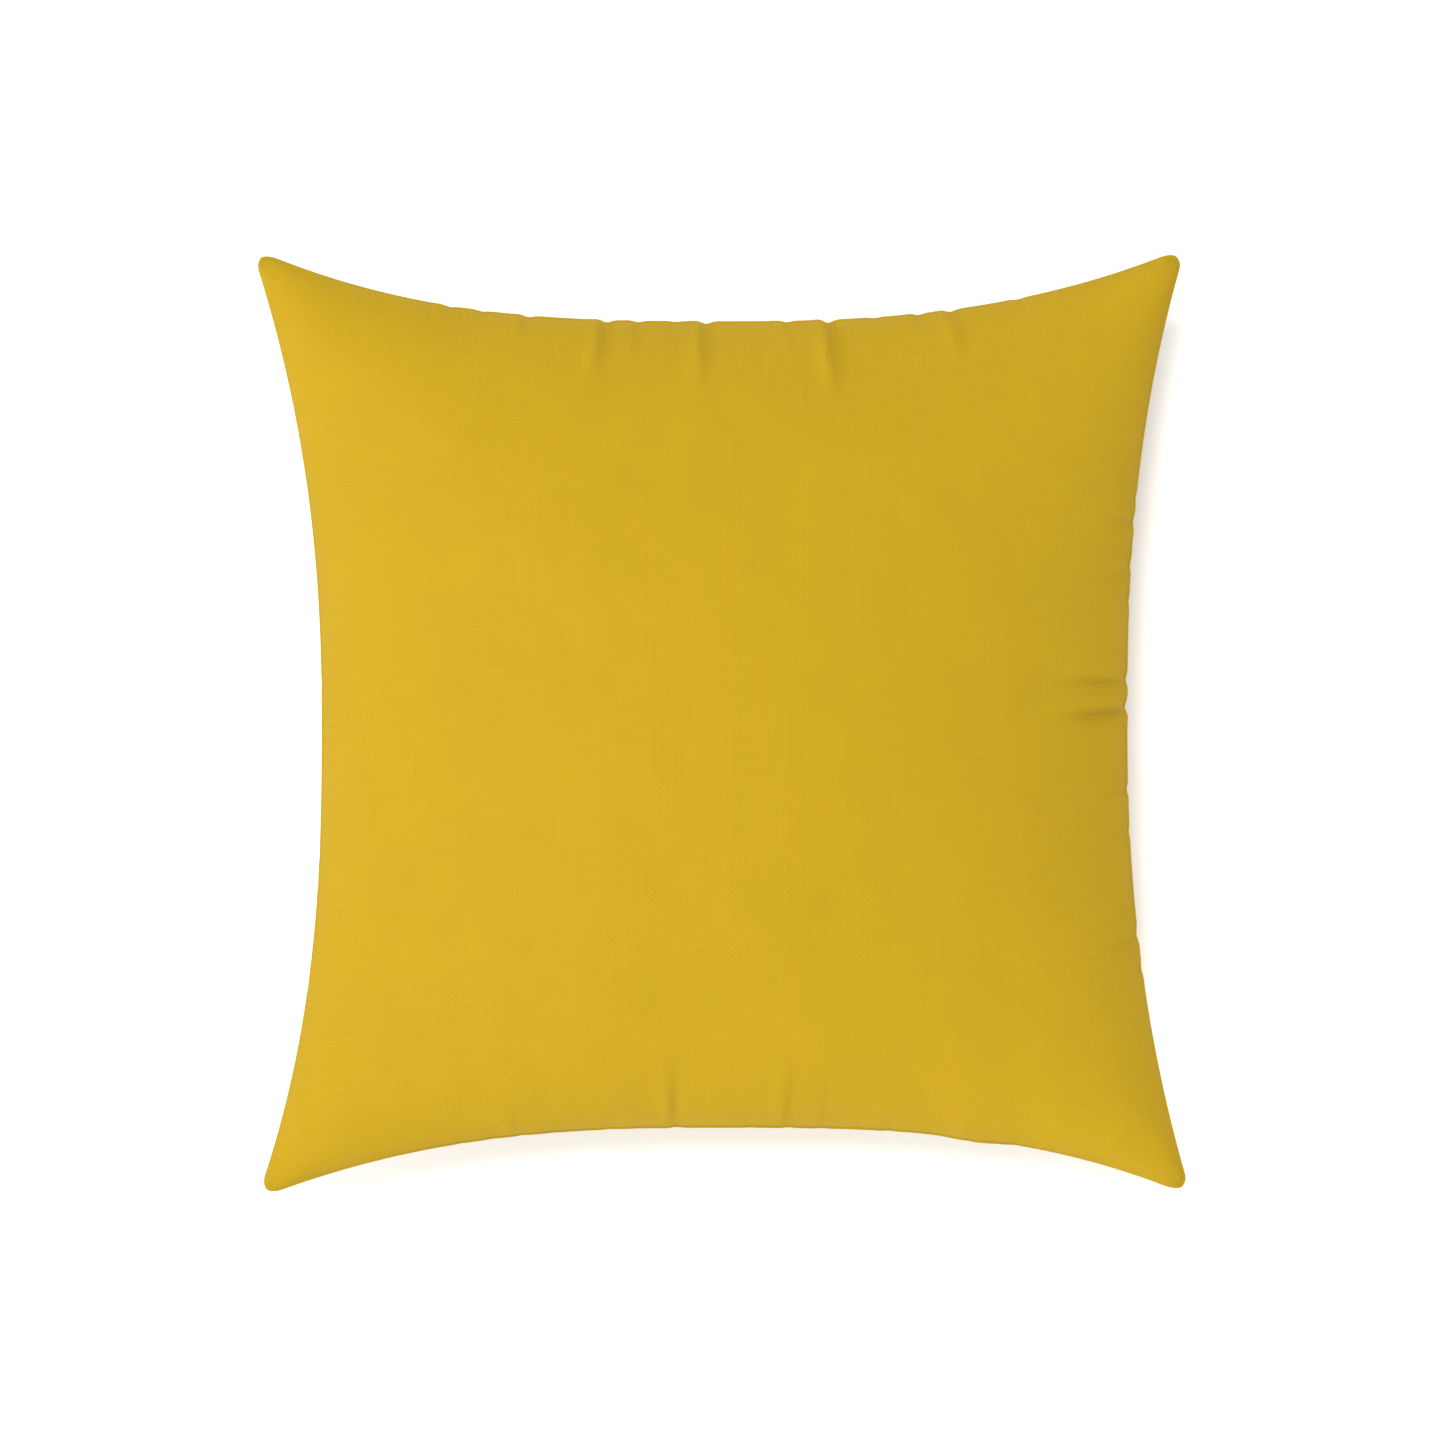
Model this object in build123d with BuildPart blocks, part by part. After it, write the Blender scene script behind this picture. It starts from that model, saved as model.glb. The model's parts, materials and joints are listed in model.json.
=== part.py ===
from build123d import *
import os
from math import asin, cos, degrees, sin, sqrt

# Throw pillow lying on its back on a flat surface: front up (+Z), top edge towards +Y,
# origin in the middle of the flat patch that it rests on. Millimetres.

# Cover, filled: an 18 inch (457 mm) square that the filling draws in to a square with hollow sides
side_half = 191.0  # centre to the middle of an edge
tip_half = 219.0  # centre to a corner tip, along X and along Y
tip_radius = 7.0
seam_height = 75.0  # seam plane above the resting surface
front_height = 85.0  # crown above the seam plane
back_rise = 88.0  # how far the back would bulge below it if nothing flattened it
crown = 0.99  # part of the full rise at which a free crown is closed by a small flat
fabric = 0.8

# Knife-edge seam: both panels turn in to a flat allowance inside, and stand out in a small lip
lip = 4.2
allowance = 12.0
seam_gap = 0.3  # half the space between the two allowances, which holds the seam's thread
thread = 0.4
thread_clearance = 0.1

# Insert: a bag of fibre, rounder at the corners than the cover
insert_side_half = 177.5
insert_tip_half = 180.0
insert_radius = 20.0
insert_fabric = 0.5
insert_front_height = front_height - 2.0
insert_back_rise = back_rise - 2.0
insert_floor = 1.2  # its underside above the resting surface
insert_edge = 1.2  # half the height of the thread that binds its edge
fill_clearance = 0.4
closing_half = 90.0  # half the length of the opening that the fibre went in by
insert_edge_shape = (insert_side_half, insert_tip_half + insert_radius * (1 - sqrt(0.5)), insert_radius)

# Zip in the middle of the lower edge, whose line is an arc about a centre outside the pillow
edge_corner = tip_half + tip_radius * (1 - sqrt(0.5))  # corner of the outline before it is rounded
edge_bow = edge_corner - side_half
edge_radius = (edge_corner**2 + edge_bow**2) / (2 * edge_bow)
edge_centre = Vector(0, -side_half - edge_radius, seam_height)
edge_axis = Axis(edge_centre, (0, 0, 1))
cover_edge = (side_half, edge_corner, tip_radius)
opening_half = 150.0  # along the arc
tape_half = 146.0
chain_half = 126.0
chain_drop = 3.0  # the chain's middle below the seam plane
chain_depth = 8.8  # the coils' middle inside the edge
coil_width = 2.0
coil_thickness = 2.2
row_gap = 0.7  # half the space between the two rows of coil
lip_gap = 1.1  # half the space between the lips that hide the chain
tape_thickness = 0.5
tape_depth = chain_depth + coil_thickness / 2 + 0.1 + tape_thickness / 2
front_tape = ((tape_depth, row_gap - chain_drop), (tape_depth, 1.5), (8.0, 10.0))
back_tape = ((tape_depth, -row_gap - chain_drop), (tape_depth, -8.0), (10.4, -15.0))
front_stitching = (9.5, 6.0)  # inside the edge and above the seam plane
back_stitching = (10.75, -12.0)
stitching_width = 0.3
stop_start = chain_half + 1.0
stop_length = 2.5
stop_width = 2.9

# Slider, at the closed end; heights are outwards from the coils' middle
slider_rest = 119.0  # along the arc from the middle of the edge
slider_length = 9.0
slider_nose = 3.6  # half its width where the two rows come in
slider_tail = 3.4
plate = 1.0
outer_plate = 1.6
inner_plate = 2.0
rim_inside = 2.95
rim_depth = 2.2
rim_length = 6.0
wedge_half = 0.4
bridge_half = 0.75
bridge_reach = 3.6
bridge_top = 7.5
window_reach = 2.3
window_top = 6.7
window_foot = 3.0

# Pull, which lies along the closed chain and turns about a bar through the bridge
pivot_height = 5.9
pull_length = 26.0
pull_half = 2.6
pull_bar_half = 2.2
pull_thickness = 0.8
pull_window_half = 1.3
pull_window_end = 5.4
pull_slot_length = 9.0
pull_slot_width = 1.8

# Label, folded once and sewn into the seam in the lower left corner, inside
label_size = 18.0
label_thickness = 0.3
label_gap = 0.2
label_distance = 271.0  # its middle from the centre, along the diagonal
label_height = 1.5  # above the seam plane

sections = 13  # outlines that each crown is lofted through
least_hollow = 0.02  # keeps every side an arc


def outline(height, middle, corner, radius):
    """Square with one arc to a side, through its middle, and rounded corners."""
    corners = [(corner, corner), (-corner, corner), (-corner, -corner), (corner, -corner)]
    middles = [(0, middle), (-middle, 0), (0, -middle), (middle, 0)]
    with BuildSketch(Plane.XY.offset(height)) as square:
        with BuildLine():
            for n in range(4):
                ThreePointArc(corners[n], middles[n], corners[(n + 1) % 4])
        make_face()
        fillet(square.vertices(), radius)
    return square.sketch


def crowned_form(side, tip, radius, rise, height, base, facing):
    """Half a pillow, from its base plane out to a flat patch at the given height.

    At a fraction f of the full rise the outline's sides are at side * sqrt(1 - f^2) and its
    corners at tip * sqrt(1 - f), so a cut across the middle is an ellipse, the corners are
    thin, and the hollow in the sides fades as (1 - f^2)^4.
    """
    with BuildPart() as form:
        for n in range(sections):
            f = sin(n / (sections - 1) * asin(height / rise))
            middle = side * sqrt(1 - f**2)
            hollow = max((1 - f**2) ** 4, least_hollow)
            corner = middle + (tip + radius * (1 - sqrt(0.5)) - side) * hollow
            rounding = (corner - tip * sqrt(1 - f)) / (1 - sqrt(0.5))
            add(outline(base + facing * rise * f, middle, corner, rounding))
        loft(ruled=True)
    return form.part


def inset_corner(middle, corner, inset):
    """Corner of an outline whose arcs are moved inside by a distance and keep their centres."""
    arc = (corner**2 + (corner - middle) ** 2) / (2 * (corner - middle))
    centre = middle + arc
    return (centre - sqrt(2 * (arc + inset) ** 2 - centre**2)) / 2


def ring(shape, outer, inner, low, high):
    """Band along an outline, between two distances inside it and two heights above the seam plane."""
    middle, corner, radius = shape
    with BuildPart() as band:
        for inset, mode in ((outer, Mode.ADD), (inner, Mode.SUBTRACT)):
            inside = inset_corner(middle, corner, inset)
            add(outline(seam_height + low, middle - inset, inside, max(radius - inset, 1)))
            extrude(amount=high - low, mode=mode)
    return band.part


def edge_plane(along):
    """Plane across the lower edge: local X is the distance inside the edge, and local Y is up."""
    turn = along / edge_radius
    inwards = Vector(sin(turn), cos(turn), 0)
    seat = edge_centre + inwards * edge_radius
    return Plane(origin=seat, x_dir=inwards, z_dir=inwards.cross(Vector(0, 0, 1)))


def edge_turn(start, end):
    """Angle between two places on the lower edge, clockwise from above as the distance grows."""
    return -degrees((end - start) / edge_radius)


def edge_block(start, end, near, far, low, high):
    """Block carried along the lower edge, from one distance along its arc to another."""
    with BuildPart() as block:
        with BuildSketch(edge_plane(start)):
            with Locations(((near + far) / 2, (low + high) / 2)):
                Rectangle(far - near, high - low)
        revolve(axis=edge_axis, revolution_arc=edge_turn(start, end))
    return block.part


def edge_stitching(place):
    """Line of thread along the zip, at a distance inside the edge and a height."""
    depth, height = place
    half = stitching_width
    return edge_block(-tape_half, tape_half, depth, depth + stitching_width, height - half, height + half)


# Cover panels: each is one piece of cloth, its crown, lip and turned-in allowance
wall_side = side_half - lip
wall_tip = inset_corner(side_half, edge_corner, lip) - tip_radius * (1 - sqrt(0.5))
front_base = seam_height + seam_gap
back_base = seam_height - seam_gap
front_rise = front_height / crown
front_outside = crowned_form(wall_side, wall_tip, tip_radius, front_rise, front_height, front_base, 1)
front_inside = crowned_form(
    wall_side - fabric, wall_tip - 2 * fabric, tip_radius,
    front_rise - fabric, front_height - fabric, front_base, 1,
)
back_outside = crowned_form(wall_side, wall_tip, tip_radius, back_rise, back_base, back_base, -1)
back_inside = crowned_form(
    wall_side - fabric, wall_tip - 2 * fabric, tip_radius,
    back_rise - fabric, back_base - fabric, back_base, -1,
)
front_zip_cut = edge_block(-opening_half, opening_half, lip + fabric, allowance + 1, 0, 2 * fabric)
front_zip_lip = edge_block(
    -opening_half, opening_half, lip, lip + fabric, lip_gap - chain_drop, seam_gap + fabric
)
back_zip_cut = edge_block(-opening_half, opening_half, -1, allowance + 1, -chain_drop - lip_gap, 0)
zip_space = edge_block(-opening_half, opening_half, -1, allowance + 1, -2, 2)

with BuildPart() as cover_front_panel:
    add(front_outside)
    add(front_inside, mode=Mode.SUBTRACT)
    add(ring(cover_edge, 0, allowance, seam_gap, seam_gap + fabric))
    add(front_zip_cut, mode=Mode.SUBTRACT)
    add(front_zip_lip)
cover_front_panel.part.label = "cover_front_panel"

with BuildPart() as cover_back_panel:
    add(back_outside)
    add(back_inside, mode=Mode.SUBTRACT)
    add(ring(cover_edge, 0, allowance, -seam_gap - fabric, -seam_gap))
    add(back_zip_cut, mode=Mode.SUBTRACT)
cover_back_panel.part.label = "cover_back_panel"

# Thread of the seam, between the two allowances, and the thread that binds their cut edges
with BuildPart() as cover_seam_thread:
    add(ring(cover_edge, lip, lip + thread, -thread / 2, thread / 2))
    add(zip_space, mode=Mode.SUBTRACT)
cover_seam_thread.part.label = "cover_seam_thread"

with BuildPart() as cover_overlock_thread:
    overlock = seam_gap + fabric + thread_clearance
    add(ring(cover_edge, allowance + thread_clearance, allowance + thread, -overlock, overlock))
    add(zip_space, mode=Mode.SUBTRACT)
cover_overlock_thread.part.label = "cover_overlock_thread"


# Zip: two tapes, two rows of coil, the stitching that holds the tapes, and the end stops
def zip_tape(line):
    """Tape whose section follows a bent line across the edge."""
    with BuildPart() as strip:
        with BuildSketch(edge_plane(-tape_half)):
            with BuildLine():
                Polyline(*line)
            trace(line_width=tape_thickness)
        revolve(axis=edge_axis, revolution_arc=edge_turn(-tape_half, tape_half))
    return strip.part


def zip_coil(side):
    """One row of coil, above the chain's middle for side 1 and below it for side -1."""
    height = side * (row_gap + coil_width / 2) - chain_drop
    with BuildPart() as row:
        with BuildSketch(edge_plane(-chain_half)):
            with Locations((chain_depth, height)):
                RectangleRounded(coil_thickness, coil_width, coil_width / 3)
        revolve(axis=edge_axis, revolution_arc=edge_turn(-chain_half, chain_half))
    return row.part


def zip_stop(start, low, high):
    """Block clamped over the end of the chain, beside the tapes."""
    near = chain_depth - coil_thickness / 2
    far = chain_depth + coil_thickness / 2
    return edge_block(start, start + stop_length, near, far, low - chain_drop, high - chain_drop)


with BuildPart() as zip_tape_front:
    add(zip_tape(front_tape))
zip_tape_front.part.label = "zip_tape_front"

with BuildPart() as zip_tape_back:
    add(zip_tape(back_tape))
zip_tape_back.part.label = "zip_tape_back"

with BuildPart() as zip_coil_front:
    add(zip_coil(1))
zip_coil_front.part.label = "zip_coil_front"

with BuildPart() as zip_coil_back:
    add(zip_coil(-1))
zip_coil_back.part.label = "zip_coil_back"

with BuildPart() as zip_stitching_front:
    add(edge_stitching(front_stitching))
zip_stitching_front.part.label = "zip_stitching_front"

with BuildPart() as zip_stitching_back:
    add(edge_stitching(back_stitching))
zip_stitching_back.part.label = "zip_stitching_back"

with BuildPart() as zip_top_stops:
    add(zip_stop(stop_start, row_gap, stop_width))
    add(zip_stop(stop_start, -stop_width, -row_gap))
zip_top_stops.part.label = "zip_top_stops"

with BuildPart() as zip_bottom_stop:
    add(zip_stop(-stop_start - stop_length, -stop_width, stop_width))
zip_bottom_stop.part.label = "zip_bottom_stop"

# Slider: two plates round the chain, joined by a wedge between the rows at the nose.
# On its planes local X is along the chain towards the closed end, and local Y is up.
slider_seat = edge_plane(slider_rest)
slider_middle = slider_seat.from_local_coords(Vector(chain_depth, -chain_drop, 0))
slider_plane = Plane(origin=slider_middle, x_dir=slider_seat.z_dir, z_dir=-slider_seat.x_dir)
slider_side = Plane(origin=slider_middle, x_dir=slider_seat.z_dir, z_dir=(0, 0, -1))


def slider_plate(height):
    """Plate with rounded corners, wider at the nose than at the tail."""
    end = slider_length / 2
    corners = ((-end, -slider_tail), (end, -slider_nose), (end, slider_nose), (-end, slider_tail))
    with BuildPart() as body:
        with BuildSketch(slider_plane.offset(height)) as shape:
            with BuildLine():
                Polyline(*corners, close=True)
            make_face()
            fillet(shape.vertices(), 1.4)
        extrude(amount=plate)
    return body.part


with BuildPart() as zip_slider_body:
    add(slider_plate(outer_plate))
    add(slider_plate(-inner_plate - plate))
    with BuildSketch(slider_plane.offset(outer_plate - rim_depth)):
        rim_middle = (rim_inside + slider_tail) / 2
        with Locations((0, rim_middle), (0, -rim_middle)):
            Rectangle(rim_length, slider_tail - rim_inside)
    extrude(amount=rim_depth)
    with BuildSketch(slider_plane.offset(-inner_plate)):
        with Locations((slider_length / 2 - 1.8, 0)):
            SlotOverall(2.4, 2 * wedge_half)
    extrude(amount=inner_plate + outer_plate)
    with BuildSketch(slider_side):
        with Locations((0, (outer_plate + bridge_top) / 2)):
            RectangleRounded(2 * bridge_reach, bridge_top - outer_plate, 1.1)
        with Locations((0, (window_foot + window_top) / 2)):
            RectangleRounded(2 * window_reach, window_top - window_foot, 0.8, mode=Mode.SUBTRACT)
    extrude(amount=bridge_half, both=True)
zip_slider_body.part.label = "zip_slider_body"

with BuildPart() as zip_pull_tab:
    with BuildSketch(slider_plane.offset(pivot_height - pull_thickness / 2)):
        with Locations((-pull_length / 2, 0)):
            RectangleRounded(pull_length, 2 * pull_half, 1.2)
        with Locations((-pull_window_end / 2, 0)):
            Rectangle(pull_window_end, 2 * pull_window_half, mode=Mode.SUBTRACT)
        with Locations((pull_slot_length / 2 + 2 - pull_length, 0)):
            SlotOverall(pull_slot_length, pull_slot_width, mode=Mode.SUBTRACT)
    extrude(amount=pull_thickness)
    with BuildSketch(slider_side):
        with Locations((0, pivot_height)):
            Circle(pull_thickness / 2)
    extrude(amount=pull_bar_half, both=True)
zip_pull_tab.part.label = "zip_pull_tab"

# Care label: two layers joined by the fold at their inner end
label_corner = -label_distance * sqrt(0.5)
label_plane = Plane(
    origin=(label_corner, label_corner, seam_height + label_height), x_dir=(1, 1, 0), z_dir=(0, 0, 1)
)
with BuildPart() as care_label:
    layer_step = label_thickness + label_gap
    for layer in range(2):
        with BuildSketch(label_plane.offset(layer * layer_step)):
            Rectangle(label_size, label_size)
        extrude(amount=label_thickness)
    with BuildSketch(label_plane):
        with Locations((label_size / 2 - label_thickness / 2, 0)):
            Rectangle(label_thickness, label_size)
    extrude(amount=layer_step)
care_label.part.label = "care_label"

# Insert: a bag of two panels, overlocked round its edge, closed by a line of stitches, and its fibre
insert_front_rise = insert_front_height / crown
insert_back_height = back_base - insert_floor
inside_side = insert_side_half - insert_fabric
inside_tip = insert_tip_half - insert_fabric
fill_side = inside_side - fill_clearance
fill_tip = inside_tip - fill_clearance
fill_drop = insert_fabric + fill_clearance
bag_front_outside = crowned_form(
    insert_side_half, insert_tip_half, insert_radius, insert_front_rise, insert_front_height, front_base, 1
)
bag_front_inside = crowned_form(
    inside_side, inside_tip, insert_radius, insert_front_rise - insert_fabric,
    insert_front_height - insert_fabric, front_base, 1,
)
bag_back_outside = crowned_form(
    insert_side_half, insert_tip_half, insert_radius, insert_back_rise, insert_back_height, back_base, -1
)
bag_back_inside = crowned_form(
    inside_side, inside_tip, insert_radius, insert_back_rise - insert_fabric,
    insert_back_height - insert_fabric, back_base, -1,
)

with BuildPart() as insert_front_panel:
    add(bag_front_outside)
    add(bag_front_inside, mode=Mode.SUBTRACT)
insert_front_panel.part.label = "insert_front_panel"

with BuildPart() as insert_back_panel:
    add(bag_back_outside)
    add(bag_back_inside, mode=Mode.SUBTRACT)
insert_back_panel.part.label = "insert_back_panel"

with BuildPart() as insert_fill:
    add(crowned_form(
        fill_side, fill_tip, insert_radius, insert_front_rise - fill_drop,
        insert_front_height - fill_drop, seam_height, 1,
    ))
    add(crowned_form(
        fill_side, fill_tip, insert_radius, insert_back_rise - fill_drop,
        insert_back_height - fill_drop, seam_height, -1,
    ))
insert_fill.part.label = "insert_fill"

with BuildPart() as insert_seam_thread:
    add(ring(insert_edge_shape, -thread_clearance - thread, -thread_clearance, -insert_edge, insert_edge))
insert_seam_thread.part.label = "insert_seam_thread"

with BuildPart() as insert_closing_stitch:
    add(ring(insert_edge_shape, thread_clearance, thread_clearance + 0.3, -thread / 2, thread / 2))
    with Locations((0, insert_side_half, seam_height)):
        Box(2 * closing_half, insert_side_half, 1, mode=Mode.INTERSECT)
insert_closing_stitch.part.label = "insert_closing_stitch"

pieces = (
    cover_front_panel, cover_back_panel, cover_seam_thread, cover_overlock_thread,
    zip_tape_front, zip_tape_back, zip_coil_front, zip_coil_back, zip_stitching_front, zip_stitching_back,
    zip_top_stops, zip_bottom_stop, zip_slider_body, zip_pull_tab, care_label,
    insert_front_panel, insert_back_panel, insert_fill, insert_seam_thread, insert_closing_stitch,
)
os.makedirs("parts", exist_ok=True)
for piece in pieces:
    export_step(piece.part, f"parts/{piece.part.label}.step")
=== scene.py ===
"""A throw pillow on its back: a plain woven cover with a knife-edge seam and a hidden zip, and its insert.

Every length is in metres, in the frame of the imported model: +Z out of the front, +Y to the top edge.
"""
import json

import bpy
import numpy as np
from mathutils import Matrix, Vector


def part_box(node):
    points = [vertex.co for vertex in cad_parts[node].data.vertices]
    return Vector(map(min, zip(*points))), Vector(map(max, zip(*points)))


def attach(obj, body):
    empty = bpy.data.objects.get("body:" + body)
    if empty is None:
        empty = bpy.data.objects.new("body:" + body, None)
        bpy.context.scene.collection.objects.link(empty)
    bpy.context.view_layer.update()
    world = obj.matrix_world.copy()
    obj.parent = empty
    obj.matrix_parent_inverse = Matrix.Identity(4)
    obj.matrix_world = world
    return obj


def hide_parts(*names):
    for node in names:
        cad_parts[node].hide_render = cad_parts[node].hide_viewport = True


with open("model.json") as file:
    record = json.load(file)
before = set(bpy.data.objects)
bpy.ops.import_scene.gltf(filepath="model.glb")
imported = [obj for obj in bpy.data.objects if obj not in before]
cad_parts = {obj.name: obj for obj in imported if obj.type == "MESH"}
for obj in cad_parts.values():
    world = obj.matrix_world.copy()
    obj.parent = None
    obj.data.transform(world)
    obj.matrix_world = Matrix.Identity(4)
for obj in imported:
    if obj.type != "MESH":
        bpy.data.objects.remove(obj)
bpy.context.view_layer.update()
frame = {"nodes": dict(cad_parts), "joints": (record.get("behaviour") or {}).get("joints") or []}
joints = {joint["name"]: joint for joint in frame["joints"]}

MM = 0.001
SEAM = sum(corner.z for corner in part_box("cover_seam_thread")) / 2
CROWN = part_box("cover_front_panel")[1].z - SEAM
ZIP_CENTRE = joints["zip_travel"]["pos_m"]

# Edge of the cover: where the middles of its sides and its corners lie, and how the sides curve
MIDDLE = {"left": 189.3 * MM, "right": 192.8 * MM, "top": 190.8 * MM, "bottom": 191.7 * MM}
TIP_X = {("left", "top"): 222.8 * MM, ("right", "top"): 220.8 * MM,
         ("left", "bottom"): 220.2 * MM, ("right", "bottom"): 223.4 * MM}
TIP_Y = {("left", "top"): 225.8 * MM, ("right", "top"): 226.3 * MM,
         ("left", "bottom"): 225.8 * MM, ("right", "bottom"): 224.5 * MM}
SIDE_POWER = 2.4  # how fast a side curves away from its straight middle
SIDE_POWERS = {("top", "left"): 2.85, ("top", "right"): 2.6,
               ("bottom", "left"): 2.6, ("bottom", "right"): 2.95,
               ("left", "top"): 2.3, ("left", "bottom"): 2.65,
               ("right", "top"): 2.55, ("right", "bottom"): 2.25}
STRAIGHT_SHARE = 0.86  # of a side's half length, how much it would have if the sides were straight
TIP_RADIUS = 6.0 * MM
TIP_HALF_ANGLE = np.radians(28)
TIP_SOFTENED = 8.0 * MM  # how far inside the tip's own centre its rounding starts
LIP = 1.3 * MM  # from the edge to the foot of the crowned cloth
LIP_FOOT = 1.5 * MM  # and its height off the seam
LIP_AT_ZIP = 4.35 * MM  # and below the zip, from the zip's arc
CLOTH = 0.5 * MM
SWELL = 0.35 * MM  # height of the broad unevenness of the filling
SWELL_BROAD = 75 * MM
SWELL_FINE = 34 * MM
CUT = 228.5 * MM  # half the side of each square panel inside its seams
BACK_RISE = 88 * MM
PATCH_BLEND = 3 * MM  # how softly the back runs into the patch that it rests on

# Zip, along the lower edge
EDGE_SIDE = 191 * MM
EDGE_RADIUS = -ZIP_CENTRE[1] - EDGE_SIDE
OPENING_HALF = 150 * MM
OPENING_RAMP = 14 * MM  # length over which the sewn edge turns into the opening
CLEARING_RAMP = 25 * MM  # and over which the back panel comes clear of the zip
SLIDER_ROOM = 1.6 * MM  # how far the edge swells out over the closed zip's slider
SLIDER_PLACE = 120 * MM
SLIDER_SPREAD = 14 * MM
CHAIN_DEPTH = 8.8 * MM
CHAIN_DROP = 3.0 * MM
CHAIN_HALF = 126 * MM
TAPE_HALF = 146 * MM
TAPE = 0.5 * MM
COIL_PITCH = 1.4 * MM
COIL_WIRE = 0.62 * MM
COIL_WIDTH = 2.0 * MM
COIL_DEPTH = 2.2 * MM
ROW_GAP = 0.7 * MM
FRONT_TAPE = ((10.25, -2.8), (10.25, 1.5), (8.0, 10.0))  # distance inside the zip's arc, and height (mm)
BACK_TAPE = ((10.25, -3.2), (10.25, -7.5), (12.6, -14.0))
FRONT_STITCHING = (8.9, 5.2)
BACK_STITCHING = (12.3, -11.2)

# Threads
STITCH = 3.0 * MM
THREAD = 0.4 * MM
OVERLOCK_THREAD = 0.35 * MM
SEAM_LINE = 5.6 * MM
ALLOWANCE_LAYER = 0.62 * MM
COVER_OVERLOCK = (2.6 * MM, 1.7 * MM, 0.95 * MM)  # pitch, reach across and rise
INSERT_OVERLOCK = (3.2 * MM, 1.2 * MM, 0.8 * MM)

# Label and insert
LABEL_SIDE = 18 * MM
LABEL_FOLD = 0.5 * MM
LABEL_CLOTH = 0.12 * MM
LABEL_CURL = 0.25 * MM
INSERT_SIDE = 177.5 * MM
INSERT_EARS = 9.0 * MM
INSERT_ROUNDING = 4.5 * MM
INSERT_CUT = 213 * MM  # half the side of its square panels
INSERT_CLOTH = 0.3 * MM
INSERT_DENT = 0.9 * MM
FILL_SCALE = 0.985

# Cloth, light and view
YARN = 1.3 * MM
MUSTARD = (0.370, 0.2345, 0.0088)
SKY = 1.02
KEY = 1.9
FILL = 1.75
KEY_FROM = (14, 118, 73)  # width of the light, azimuth and elevation (degrees)
FILL_FROM = (25, 216, 27)
FLOOR_HALF = 4.0
CAMERA_RISE = 2.5
VIEW_WIDTH = 0.685
VIEW_MIDDLE = (0.8 * MM, 0.5 * MM)

SIM_POINTS = 91  # points along a side of each panel in the simulation
SIM_FRAMES = 24
PANEL_POINTS = 191  # and in the finished panel
SIM_CAP = 7 * MM


# ---------------------------------------------------------------- meshes

def quads(index, close_rows=False, close_columns=False):
    """Quads between neighbouring points of a grid of point numbers."""
    if close_rows:
        index = np.vstack([index, index[:1]])
    if close_columns:
        index = np.hstack([index, index[:, :1]])
    corners = (index[:-1, :-1], index[1:, :-1], index[1:, 1:], index[:-1, 1:])
    return np.stack(corners, axis=-1).reshape(-1, 4)


def numbered(rows, columns, first=0):
    """Point numbers of a grid, counted row by row."""
    return first + np.arange(rows * columns).reshape(rows, columns)


def rim_of(index):
    """Point numbers round a square grid: lower side, right, upper and left, anticlockwise from above."""
    return np.concatenate([index[:-1, 0], index[-1, :-1], index[:0:-1, -1], index[0, :0:-1]])


def mesh_object(name, points, faces, uv=None):
    """Object at the origin from arrays of points and quads, smooth, with a UV map if uv is given."""
    mesh = bpy.data.meshes.new(name)
    mesh.vertices.add(len(points))
    mesh.vertices.foreach_set("co", np.asarray(points, np.float32).ravel())
    mesh.loops.add(faces.size)
    mesh.loops.foreach_set("vertex_index", faces.astype(np.int32).ravel())
    mesh.polygons.add(len(faces))
    mesh.polygons.foreach_set("loop_start", np.arange(0, faces.size, 4, dtype=np.int32))
    mesh.polygons.foreach_set("use_smooth", np.ones(len(faces), bool))
    mesh.update(calc_edges=True)
    mesh.validate()
    if uv is not None:
        layer = mesh.uv_layers.new(name="cloth")
        layer.data.foreach_set("uv", np.asarray(uv, np.float32)[faces.ravel()].ravel())
    piece = bpy.data.objects.new(name, mesh)
    bpy.context.scene.collection.objects.link(piece)
    return piece


def finish_piece(piece, material, body, slot, *nodes):
    """Gives a piece its material and its body, and hides the nodes that it stands for. The slot is not used.
    """
    piece.data.materials.append(material)
    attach(piece, body)
    if nodes:
        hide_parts(*nodes)
    return piece


# ---------------------------------------------------------------- shape of the filled cover

def smooth_step(value, start, end):
    """0 before start, 1 after end, and 3 t^2 - 2 t^3 between them."""
    t = np.clip((value - start) / (end - start), 0, 1)
    return t * t * (3 - 2 * t)


def at_opening(x):
    """1 along the zip's opening, and 0 where the panels are sewn together."""
    return 1 - smooth_step(np.abs(x), OPENING_HALF - OPENING_RAMP, OPENING_HALF)


def arc_reach(x):
    """How far the zip's arc lies below the centre, at a place x along it."""
    return -ZIP_CENTRE[1] - np.sqrt(EDGE_RADIUS**2 - np.minimum(np.abs(x), 0.8 * EDGE_RADIUS) ** 2)


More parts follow.
